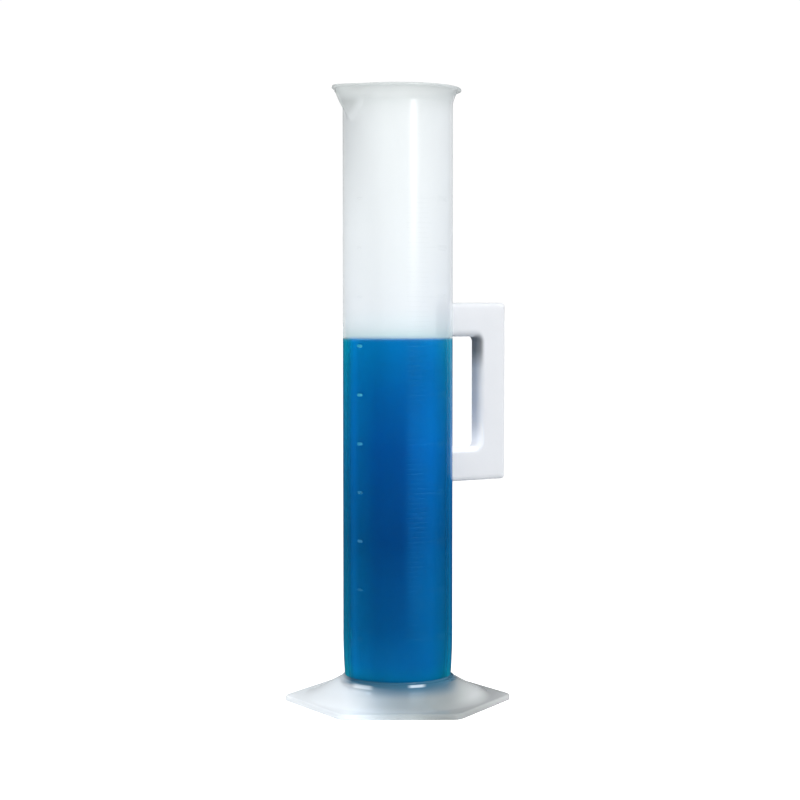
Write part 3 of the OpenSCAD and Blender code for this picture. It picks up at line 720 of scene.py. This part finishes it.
def foot_material():
    m, nt, out = material("clear_foot_plastic")
    bs = node(nt, "ShaderNodeBsdfPrincipled")
    bs.inputs["Roughness"].default_value = 0.14
    bs.inputs["IOR"].default_value = 1.49
    bs.inputs["Transmission Weight"].default_value = 0.30
    tc = node(nt, "ShaderNodeTexCoord")
    dt = node(nt, "ShaderNodeVectorMath", operation="DOT_PRODUCT")
    link(nt, tc.outputs["Object"], dt.inputs[0])
    dt.inputs[1].default_value = RIGHT
    across = node(nt, "ShaderNodeMapRange")
    across.inputs["From Min"].default_value = -90 * MM
    across.inputs["From Max"].default_value = 90 * MM
    link(nt, dt.outputs["Value"], across.inputs["Value"])
    # painted light and shade across the foot: painted light on its left, painted shade from its middle to its right
    cr = node(nt, "ShaderNodeValToRGB")
    el = cr.color_ramp.elements
    el[0].position = 0.0; el[0].color = (0.97, 0.985, 1.0, 1)
    el[1].position = 1.0; el[1].color = (0.86, 0.87, 0.87, 1)
    for pos_, col in ((0.28, (0.93, 0.97, 1.0)), (0.42, (0.66, 0.75, 0.80)), (0.60, (0.52, 0.58, 0.58)), (0.80, (0.60, 0.62, 0.61))):
        e = el.new(pos_); e.color = (*col, 1)
    link(nt, across.outputs["Result"], cr.inputs["Fac"])
    # painted refraction of the solution's blue in the collar
    flat = node(nt, "ShaderNodeVectorMath", operation="MULTIPLY")
    link(nt, tc.outputs["Object"], flat.inputs[0]); flat.inputs[1].default_value = (1, 1, 0)
    ln = node(nt, "ShaderNodeVectorMath", operation="LENGTH")
    link(nt, flat.outputs[0], ln.inputs[0])
    near = node(nt, "ShaderNodeMapRange", interpolation_type="SMOOTHSTEP")
    near.inputs["From Min"].default_value = 44 * MM
    near.inputs["From Max"].default_value = 60 * MM
    near.inputs["To Min"].default_value = 0.95
    near.inputs["To Max"].default_value = 0.0
    link(nt, ln.outputs["Value"], near.inputs["Value"])
    side_ = node(nt, "ShaderNodeMapRange", interpolation_type="SMOOTHSTEP")
    side_.inputs["From Min"].default_value = -42 * MM
    side_.inputs["From Max"].default_value = -14 * MM
    link(nt, dt.outputs["Value"], side_.inputs["Value"])
    off_ = node(nt, "ShaderNodeMapRange", interpolation_type="SMOOTHSTEP")
    off_.inputs["From Min"].default_value = 36 * MM
    off_.inputs["From Max"].default_value = 52 * MM
    off_.inputs["To Min"].default_value = 1.0
    off_.inputs["To Max"].default_value = 0.0
    link(nt, dt.outputs["Value"], off_.inputs["Value"])
    sides = node(nt, "ShaderNodeMath", operation="MULTIPLY")
    link(nt, side_.outputs["Result"], sides.inputs[0]); link(nt, off_.outputs["Result"], sides.inputs[1])
    # the ring that touches the tube takes that painted blue all round
    ring = node(nt, "ShaderNodeMapRange", interpolation_type="SMOOTHSTEP")
    ring.inputs["From Min"].default_value = 45 * MM
    ring.inputs["From Max"].default_value = 48.5 * MM
    ring.inputs["To Min"].default_value = 1.0
    ring.inputs["To Max"].default_value = 0.0
    link(nt, ln.outputs["Value"], ring.inputs["Value"])
    edge_ = node(nt, "ShaderNodeMapRange", interpolation_type="SMOOTHSTEP")
    edge_.inputs["From Min"].default_value = -48 * MM
    edge_.inputs["From Max"].default_value = -35 * MM
    link(nt, dt.outputs["Value"], edge_.inputs["Value"])
    hug = node(nt, "ShaderNodeMath", operation="MULTIPLY")
    link(nt, ring.outputs["Result"], hug.inputs[0]); link(nt, edge_.outputs["Result"], hug.inputs[1])
    some = node(nt, "ShaderNodeMath", operation="MAXIMUM")
    link(nt, sides.outputs[0], some.inputs[0]); link(nt, hug.outputs[0], some.inputs[1])
    fac = node(nt, "ShaderNodeMath", operation="MULTIPLY")
    link(nt, near.outputs["Result"], fac.inputs[0]); link(nt, some.outputs[0], fac.inputs[1])
    mixc = node(nt, "ShaderNodeMix", data_type="RGBA")
    link(nt, fac.outputs[0], mixc.inputs["Factor"])
    link(nt, cr.outputs["Color"], mixc.inputs["A"])
    mixc.inputs["B"].default_value = (0.06, 0.26, 0.42, 1)
    link(nt, mixc.outputs["Result"], bs.inputs["Base Color"])
    # painted light, strongest on the left of the foot, on the cone beyond the collar ring
    pale = node(nt, "ShaderNodeMapRange", interpolation_type="SMOOTHSTEP")
    pale.inputs["From Min"].default_value = -42 * MM
    pale.inputs["From Max"].default_value = 2 * MM
    pale.inputs["To Min"].default_value = 0.25
    pale.inputs["To Max"].default_value = 0.02
    link(nt, dt.outputs["Value"], pale.inputs["Value"])
    sp = node(nt, "ShaderNodeSeparateXYZ")
    link(nt, tc.outputs["Object"], sp.inputs[0])
    def span(src, a, b, lo, hi):
        n = node(nt, "ShaderNodeMapRange", interpolation_type="SMOOTHSTEP")
        n.inputs["From Min"].default_value = a * MM
        n.inputs["From Max"].default_value = b * MM
        n.inputs["To Min"].default_value = lo
        n.inputs["To Max"].default_value = hi
        link(nt, src, n.inputs["Value"])
        return n.outputs["Result"]
    def math_(op, a, b):
        n = node(nt, "ShaderNodeMath", operation=op)
        link(nt, a, n.inputs[0]); link(nt, b, n.inputs[1])
        return n.outputs[0]
    # painted light on the right of the cone, and along the front of the flange
    right_ = math_("MULTIPLY", span(dt.outputs["Value"], 40, 64, 0.0, 0.27), span(sp.outputs["Z"], 3.5, 9, 0.0, 1.0))
    lip_ = math_("MULTIPLY", math_("MULTIPLY", span(dt.outputs["Value"], 8, 36, 0.15, 0.0), span(dt.outputs["Value"], -46, -22, 0.0, 1.0)), span(sp.outputs["Z"], 6, 1, 0.0, 1.0))
    calm = span(ln.outputs["Value"], 45, 48.5, 0.0, 1.0)
    lone = math_("MULTIPLY", pale.outputs["Result"], math_("MAXIMUM", calm, span(dt.outputs["Value"], -35, -48, 0.0, 1.0)))
    # two painted glints where the moulding would catch the window along its collar, on the scale's side
    fd = node(nt, "ShaderNodeVectorMath", operation="DOT_PRODUCT")
    link(nt, tc.outputs["Object"], fd.inputs[0]); fd.inputs[1].default_value = (RIGHT[1], -RIGHT[0], 0.0)
    facing_ = span(fd.outputs["Value"], 15, 25, 0.0, 1.0)
    def glint(c0, c1, r0, r1, gain):
        w = math_("MULTIPLY", span(dt.outputs["Value"], c0 - 3, c0 + 2, 0.0, 1.0), span(dt.outputs["Value"], c1 - 2, c1 + 3, 1.0, 0.0))
        w = math_("MULTIPLY", w, math_("MULTIPLY", span(ln.outputs["Value"], r0 - 0.8, r0, 0.0, 1.0), span(ln.outputs["Value"], r1, r1 + 1.2, gain, 0.0)))
        return math_("MULTIPLY", w, facing_)
    glints = math_("ADD", glint(9.5, 20, 44.6, 45.6, 0.75), glint(-34, -21, 45.6, 48.5, 0.42))
    total = math_("ADD", math_("ADD", math_("ADD", lone, right_), lip_), glints)
    bs.inputs["Emission Color"].default_value = (0.93, 0.97, 1.0, 1)
    link(nt, total, bs.inputs["Emission Strength"])
    noise_bump(nt, bs, 60, 0.10, detail=2, distance=0.0006)
    tr = node(nt, "ShaderNodeBsdfTransparent")
    mix = node(nt, "ShaderNodeMixShader")
    mix.inputs[0].default_value = 0.80
    link(nt, tr.outputs[0], mix.inputs[1]); link(nt, bs.outputs[0], mix.inputs[2])
    link(nt, mix.outputs[0], out.inputs["Surface"])
    return m

def handle_material():
    m, nt, out = material("white_handle_plastic")
    bs = node(nt, "ShaderNodeBsdfPrincipled")
    bs.inputs["Roughness"].default_value = 0.42
    bs.inputs["IOR"].default_value = 1.49
    bs.inputs["Subsurface Weight"].default_value = 0.12
    bs.inputs["Subsurface Radius"].default_value = (0.004, 0.004, 0.004)
    tc = node(nt, "ShaderNodeTexCoord")
    n1 = node(nt, "ShaderNodeTexNoise"); n1.inputs["Scale"].default_value = 45; n1.inputs["Detail"].default_value = 4
    link(nt, tc.outputs["Object"], n1.inputs["Vector"])
    mixc = node(nt, "ShaderNodeMix", data_type="RGBA")
    link(nt, n1.outputs["Fac"], mixc.inputs["Factor"])
    mixc.inputs["A"].default_value = (0.82, 0.84, 0.87, 1)
    mixc.inputs["B"].default_value = (0.87, 0.88, 0.91, 1)
    # the finger side is shaded under the upper arm and lighter towards the lower arm
    geo = node(nt, "ShaderNodeNewGeometry")
    sp = node(nt, "ShaderNodeSeparateXYZ")
    link(nt, geo.outputs["Normal"], sp.inputs[0])
    inner = node(nt, "ShaderNodeMapRange", interpolation_type="SMOOTHSTEP")
    inner.inputs["From Min"].default_value = -0.05
    inner.inputs["From Max"].default_value = -0.75
    link(nt, sp.outputs["X"], inner.inputs["Value"])
    hz = [(150, 1.0), (Z0 + BAR + 31, 1.0), (Z0 + BAR + 47, 1.0), (Z0 + BAR + 63, 0.85), (Z1 - BAR - 12, 0.36), (Z1 - BAR, 0.28), (Z1, 0.28)]
    shade, _ = height_ramp(nt, [(z_, (v_,) * 3) for z_, v_ in hz], 150, 330)
    dim = node(nt, "ShaderNodeMix", data_type="RGBA")
    link(nt, inner.outputs["Result"], dim.inputs["Factor"])
    dim.inputs["A"].default_value = (1, 1, 1, 1); link(nt, shade.outputs["Color"], dim.inputs["B"])
    # painted shade along the underside of the upper arm
    under = node(nt, "ShaderNodeMapRange", interpolation_type="SMOOTHSTEP")
    under.inputs["From Min"].default_value = -0.2
    under.inputs["From Max"].default_value = -0.8
    link(nt, sp.outputs["Z"], under.inputs["Value"])
    up_, _ = height_ramp(nt, [(150, (0.0,) * 3), (Z1 - BAR - 14, (0.0,) * 3), (Z1 - BAR - 6, (0.12,) * 3), (330, (0.12,) * 3)], 150, 330)
    um = node(nt, "ShaderNodeMath", operation="MULTIPLY")
    link(nt, under.outputs["Result"], um.inputs[0]); link(nt, up_.outputs["Color"], um.inputs[1])
    dim2 = node(nt, "ShaderNodeMix", data_type="RGBA")
    link(nt, um.outputs[0], dim2.inputs["Factor"])
    link(nt, dim.outputs["Result"], dim2.inputs["A"]); dim2.inputs["B"].default_value = (0.1, 0.1, 0.1, 1)
    fin = node(nt, "ShaderNodeVectorMath", operation="MULTIPLY")
    link(nt, mixc.outputs["Result"], fin.inputs[0]); link(nt, dim2.outputs["Result"], fin.inputs[1])
    link(nt, fin.outputs[0], bs.inputs["Base Color"])
    # painted light on the lower arm's top and on the finger side above it, fading upwards
    painted_bounce_light, _ = height_ramp(nt, [(150, (0.0,) * 3), (Z0 + BAR - 9, (0.0,) * 3), (Z0 + BAR - 5, (0.40,) * 3), (Z0 + BAR + 6, (0.40,) * 3), (Z0 + BAR + 12, (0.26,) * 3), (Z0 + BAR + 20, (0.14,) * 3), (Z0 + BAR + 33, (0.08,) * 3), (Z0 + BAR + 48, (0.07,) * 3), (Z0 + BAR + 64, (0.06,) * 3), (Z0 + BAR + 78, (0.0,) * 3), (330, (0.0,) * 3)], 150, 330)
    upw = node(nt, "ShaderNodeMapRange", interpolation_type="SMOOTHSTEP")
    upw.inputs["From Min"].default_value = 0.15
    upw.inputs["From Max"].default_value = 0.8
    link(nt, sp.outputs["Z"], upw.inputs["Value"])
    who = node(nt, "ShaderNodeMath", operation="MAXIMUM")
    link(nt, upw.outputs["Result"], who.inputs[0]); link(nt, inner.outputs["Result"], who.inputs[1])
    ge = node(nt, "ShaderNodeMath", operation="MULTIPLY")
    link(nt, who.outputs[0], ge.inputs[0]); link(nt, painted_bounce_light.outputs["Color"], ge.inputs[1])
    bs.inputs["Emission Color"].default_value = (0.96, 0.98, 1.0, 1)
    link(nt, ge.outputs[0], bs.inputs["Emission Strength"])
    n2 = node(nt, "ShaderNodeTexNoise"); n2.inputs["Scale"].default_value = 900; n2.inputs["Detail"].default_value = 2
    link(nt, tc.outputs["Object"], n2.inputs["Vector"])
    bp = node(nt, "ShaderNodeBump"); bp.inputs["Strength"].default_value = 0.12; bp.inputs["Distance"].default_value = 0.0002
    link(nt, n2.outputs["Fac"], bp.inputs["Height"])
    link(nt, bp.outputs["Normal"], bs.inputs["Normal"])
    link(nt, bs.outputs[0], out.inputs["Surface"])
    return m

def marks_material(name, alpha, dry_alpha, fade=None):
    m, nt, out = material(name)
    bs = node(nt, "ShaderNodeBsdfPrincipled")
    bs.inputs["Roughness"].default_value = 0.45
    # below the level the marks carry the liquid's blue as a painted view through them, with painted shade deepest at
    # 140 mm and painted light near the surface
    cr, _ = height_ramp(nt, [(0, (0.08, 0.66, 1.0)), (140, (0.08, 0.56, 1.0)), (LEVEL - 1, (0.08, 0.74, 1.0)), (LEVEL + 1, (0.86, 0.94, 0.95)), (RIM_Z, (0.92, 0.95, 0.96))], 0, RIM_Z)
    tc = node(nt, "ShaderNodeTexCoord")
    n1 = node(nt, "ShaderNodeTexNoise"); n1.inputs["Scale"].default_value = 160; n1.inputs["Detail"].default_value = 2
    link(nt, tc.outputs["Object"], n1.inputs["Vector"])
    mr = node(nt, "ShaderNodeMapRange")
    mr.inputs["To Min"].default_value = 0.9
    mr.inputs["To Max"].default_value = 1.05
    link(nt, n1.outputs["Fac"], mr.inputs["Value"])
    sc = node(nt, "ShaderNodeVectorMath", operation="SCALE")
    link(nt, cr.outputs["Color"], sc.inputs[0]); link(nt, mr.outputs["Result"], sc.inputs["Scale"])
    link(nt, sc.outputs[0], bs.inputs["Base Color"])
    tr = node(nt, "ShaderNodeBsdfTransparent")
    mix = node(nt, "ShaderNodeMixShader")
    up = fade or [(0, alpha), (LEVEL - 1, alpha)]
    ar, _ = height_ramp(nt, [(z_, (v_,) * 3) for z_, v_ in up] + [(LEVEL + 1, (dry_alpha,) * 3), (RIM_Z, (dry_alpha,) * 3)], 0, RIM_Z)
    link(nt, ar.outputs["Color"], mix.inputs[0])
    link(nt, tr.outputs[0], mix.inputs[1])
    link(nt, bs.outputs[0], mix.inputs[2])
    link(nt, mix.outputs[0], out.inputs["Surface"])
    return m

def assign(ob, m):
    ob.data.materials.clear()
    ob.data.materials.append(m)

m_tube, m_sol, m_foot, m_handle = tube_material(), solution_material(), foot_material(), handle_material()
m_line = marks_material("raised_line", 0.035, 0.02)
# the side marks are fainter lower down
m_mark = marks_material("bright_mark", 0.55, 0.03, [(first - 4, 0.07), (first + per200, 0.17), (first + 2 * per200, 0.37), (first + 3 * per200, 0.37), (first + 4 * per200, 0.57), (first + 5 * per200, 0.74), (LEVEL - 1, 0.70)])
assign(tube, m_tube); assign(solution, m_sol); assign(foot, m_foot); assign(foot_weld, m_foot); assign(handle, m_handle)
for ob in (major, medium, minor):
    assign(ob, m_line)
assign(side, m_mark)
for name in ("upper_handle_weld", "lower_handle_weld"):
    ob = nodes[name]
    for s in ob.material_slots:
        s.material = m_handle
for s in nodes["scale_numerals"].material_slots:
    s.material = m_line

# ---------------------------------------------------------------- floor, light and camera
me = bpy.data.meshes.new("floor")
S = 30.0
me.from_pydata([(-S, -S, 0), (S, -S, 0), (S, S, 0), (-S, S, 0)], [], [(0, 1, 2, 3)])
floor = bpy.data.objects.new("studio_floor", me)
floor.location.z = -0.0002
scene.collection.objects.link(floor)
m, nt, out = material("pale_floor")
bs = node(nt, "ShaderNodeBsdfDiffuse")
bs.inputs["Color"].default_value = (0.80, 0.80, 0.80, 1)
em = node(nt, "ShaderNodeEmission")
em.inputs["Color"].default_value = (1, 1, 1, 1)
flp = node(nt, "ShaderNodeLightPath")
fmr = node(nt, "ShaderNodeMapRange")
fmr.inputs["To Min"].default_value = 0.12
fmr.inputs["To Max"].default_value = 0.70
link(nt, flp.outputs["Is Camera Ray"], fmr.inputs["Value"])
link(nt, fmr.outputs["Result"], em.inputs["Strength"])
add = node(nt, "ShaderNodeAddShader")
link(nt, bs.outputs[0], add.inputs[0]); link(nt, em.outputs[0], add.inputs[1])
dark = node(nt, "ShaderNodeEmission")
dark.inputs["Color"].default_value = (0.5, 0.55, 0.6, 1)
dark.inputs["Strength"].default_value = 0.06
fmix = node(nt, "ShaderNodeMixShader")
link(nt, flp.outputs["Is Glossy Ray"], fmix.inputs[0]); link(nt, add.outputs[0], fmix.inputs[1]); link(nt, dark.outputs[0], fmix.inputs[2])
link(nt, fmix.outputs[0], out.inputs["Surface"])
me.materials.append(m)

world = bpy.data.worlds.new("studio")
scene.world = world
world.use_nodes = True
nt = world.node_tree
for n in list(nt.nodes):
    nt.nodes.remove(n)
out = nt.nodes.new("ShaderNodeOutputWorld")
lp = node(nt, "ShaderNodeLightPath")
tc = node(nt, "ShaderNodeTexCoord")
dot = node(nt, "ShaderNodeVectorMath", operation="DOT_PRODUCT")
link(nt, tc.outputs["Generated"], dot.inputs[0])
dot.inputs[1].default_value = RIGHT
ramp = node(nt, "ShaderNodeMapRange")
ramp.inputs["From Min"].default_value = 0.45
ramp.inputs["From Max"].default_value = 1.0
ramp.inputs["To Min"].default_value = 0.0
ramp.inputs["To Max"].default_value = 0.5
soft = node(nt, "ShaderNodeMapRange")
soft.inputs["From Min"].default_value = -1.0
soft.inputs["From Max"].default_value = 1.0
soft.inputs["To Min"].default_value = 0.12
soft.inputs["To Max"].default_value = 0.86
link(nt, dot.outputs["Value"], soft.inputs["Value"])
link(nt, dot.outputs["Value"], ramp.inputs["Value"])
def background(color, strength, drive=None):
    b = node(nt, "ShaderNodeBackground")
    b.inputs["Color"].default_value = (*color, 1)
    b.inputs["Strength"].default_value = strength
    if drive is not None:
        link(nt, drive, b.inputs["Strength"])
    return b
b_cam = background((1, 1, 1), 1.02)
b_dif = background((0.96, 0.98, 1.0), 0.5, soft.outputs["Result"])
b_glo = background((0.93, 0.97, 1.0), 0.1, ramp.outputs["Result"])
b_tra = background((0.95, 0.98, 1.0), 0.8)
m1 = node(nt, "ShaderNodeMixShader"); m2 = node(nt, "ShaderNodeMixShader"); m3 = node(nt, "ShaderNodeMixShader")
link(nt, lp.outputs["Is Glossy Ray"], m1.inputs[0]); link(nt, b_dif.outputs[0], m1.inputs[1]); link(nt, b_glo.outputs[0], m1.inputs[2])
link(nt, lp.outputs["Is Transmission Ray"], m2.inputs[0]); link(nt, m1.outputs[0], m2.inputs[1]); link(nt, b_tra.outputs[0], m2.inputs[2])
link(nt, lp.outputs["Is Camera Ray"], m3.inputs[0]); link(nt, m2.outputs[0], m3.inputs[1]); link(nt, b_cam.outputs[0], m3.inputs[2])
link(nt, m3.outputs[0], out.inputs["Surface"])

PHI = math.radians(-34)
def around(azimuth_from_camera, dist, z):
    """A point at an angle to the right of the camera's side, seen from the tube."""
    a = PHI + math.radians(azimuth_from_camera)
    return Vector((math.sin(a) * dist, -math.cos(a) * dist, z))

def area(name, loc, target, w, h, energy, color=(1, 1, 1)):
    li = bpy.data.lights.new(name, "AREA")
    li.shape = "RECTANGLE"; li.size = w; li.size_y = h; li.energy = energy; li.color = color
    ob = bpy.data.objects.new(name, li)
    ob.location = loc
    ob.rotation_euler = (Vector(target) - Vector(loc)).to_track_quat("-Z", "Y").to_euler()
    scene.collection.objects.link(ob)
    return ob

stripe = area("stripe_softbox", around(33, 1.9, 1.14), (0, 0, 1.08), 0.42, 1.36, 20)
stripe.visible_diffuse = False
key = area("key_softbox", around(48, 2.2, 1.3), (0, 0, 0.25), 1.2, 1.2, 14)
key.visible_glossy = False
top = area("top_softbox", (0.0, -0.3, 2.2), (0, 0, 0.2), 1.6, 1.2, 20)
top.visible_glossy = False

cam_data = bpy.data.cameras.new("camera")
cam = bpy.data.objects.new("camera", cam_data)
scene.collection.objects.link(cam)
scene.camera = cam
D = 1.539
pos = Vector((math.sin(PHI) * D, -math.cos(PHI) * D, 0.3113))
cam_data.sensor_width = 36
cam_data.lens = 1950 / 800 * 36
pitch = math.radians(2.699)
# the axis stands 2.2 pixels left of the picture's middle
yaw = math.atan(2.2 / 1950)
d = Vector((-math.sin(PHI), math.cos(PHI), 0))
d = Vector((d.x * math.cos(-yaw) - d.y * math.sin(-yaw), d.x * math.sin(-yaw) + d.y * math.cos(-yaw), 0))
d = Vector((d.x * math.cos(pitch), d.y * math.cos(pitch), -math.sin(pitch)))
cam.location = pos
cam.rotation_euler = d.to_track_quat("-Z", "Y").to_euler()
cam_data.clip_end = 100

scene.view_settings.view_transform = "Standard"
scene.view_settings.look = "None"
scene.cycles.use_denoising = True
scene.cycles.max_bounces = 16
scene.cycles.transparent_max_bounces = 24
scene.cycles.transmission_bounces = 12
